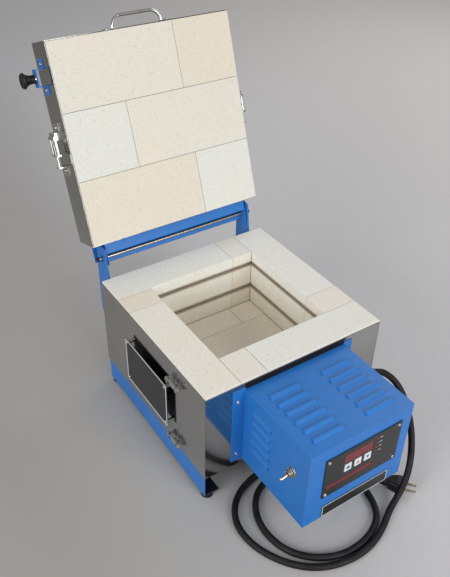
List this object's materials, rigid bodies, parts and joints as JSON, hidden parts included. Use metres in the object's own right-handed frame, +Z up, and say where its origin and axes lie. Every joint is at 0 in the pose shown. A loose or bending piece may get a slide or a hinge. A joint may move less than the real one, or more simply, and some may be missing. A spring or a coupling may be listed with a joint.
{
  "type": "craft kiln",
  "caption": "Square firebrick craft kiln with a hinged lid open on its stop, a louvred controller box in front, and a power cord.",
  "frame": {"origin": "middle of the body's footprint, on the bench", "axes": "+X to the kiln's right seen from the front, -Y towards the controller in front, +Z up"},
  "size_m": [0.3993, 0.7559, 0.6351],
  "materials": {
    "firebrick": "matte, porous",
    "polished_steel": "mirror polished",
    "blue_paint": "semi gloss",
    "dark_paint": "satin",
    "black_rubber": "matte",
    "chrome": "bright",
    "rod_steel": "drawn",
    "black_plastic": "moulded",
    "panel_black": "printed black",
    "key_white": "satin",
    "display_red": "dark red filter",
    "lamp_red": "clear red",
    "board_green": "lacquered",
    "core_iron": "varnished",
    "brass": "plated",
    "porcelain": "unglazed",
    "element_wire": "oxidised wire"
  },
  "bodies": {
    "kiln_body": {"badge_plate": "panel_black", "board_spacers": "chrome", "bottom_pan": "polished_steel", "case_clamps": "chrome", "case_screws": "chrome", "case_wrap": "polished_steel", "circuit_board": "board_green", "control_faceplate": "panel_black", "controller_front": "blue_paint", "controller_wrap": "blue_paint", "display_window": "display_red", "element_connectors": "brass", "element_insulators": "porcelain", "faceplate_screws": "chrome", "floor_bricks": "firebrick", "heat_baffle": "polished_steel", "heating_element_lower": "element_wire", "heating_element_upper": "element_wire", "hinge_post_left": "blue_paint", "hinge_post_right": "blue_paint", "indicator_lamps": "lamp_red", "nameplate": "panel_black", "nameplate_standoffs": "chrome", "plug_blades": "brass", "plug_body": "black_plastic", "power_cord": "black_rubber", "relay": "black_plastic", "rubber_feet": "black_rubber", "stand_channel_left": "blue_paint", "stand_channel_right": "blue_paint", "stand_rails": "dark_paint", "strain_relief": "black_rubber", "thermocouple": "porcelain", "toggle_nut": "chrome", "toggle_switch_body": "black_plastic", "transformer": "core_iron", "wall_brick_back": "firebrick", "wall_brick_front": "firebrick", "wall_brick_left": "firebrick", "wall_brick_right": "firebrick", "wall_cut_bricks": "firebrick"},
    "lid": {"hinge_rod": "rod_steel", "hinge_rod_caps": "black_plastic", "knob_bracket": "blue_paint", "knob_ferrule": "chrome", "lid_band": "polished_steel", "lid_bricks_front": "firebrick", "lid_bricks_middle": "firebrick", "lid_bricks_rear": "firebrick", "lid_clamp_left": "chrome", "lid_clamp_right": "chrome", "lid_cover": "polished_steel", "lid_handle": "chrome", "lid_hinge_bracket": "blue_paint", "lid_knob": "black_plastic", "lid_screws": "chrome"},
    "toggle_lever": {"toggle_lever": "chrome"},
    "key_left": {"control_key_left": "key_white"},
    "key_middle": {"control_key_middle": "key_white"},
    "key_right": {"control_key_right": "key_white"}
  },
  "joints": [
    {"name": "lid_hinge", "type": "hinge", "parent": "kiln_body", "child": "lid", "pos_m": [0, 0.202, 0.259], "axis": [1, 0, 0], "range_deg": [0, 109.3]},
    {"name": "toggle_throw", "type": "hinge", "parent": "kiln_body", "child": "toggle_lever", "pos_m": [-0.106, -0.2966, 0.1557], "axis": [0, 1, 0], "range_deg": [0, 26]},
    {"name": "key_press_left", "type": "slide", "parent": "kiln_body", "child": "key_left", "axis": [0, 1, 0], "range_m": [0, 0.0008], "stiffness_N_per_m": 400},
    {"name": "key_press_middle", "type": "slide", "parent": "kiln_body", "child": "key_middle", "axis": [0, 1, 0], "range_m": [0, 0.0008], "stiffness_N_per_m": 400},
    {"name": "key_press_right", "type": "slide", "parent": "kiln_body", "child": "key_right", "axis": [0, 1, 0], "range_m": [0, 0.0008], "stiffness_N_per_m": 400}
  ]
}
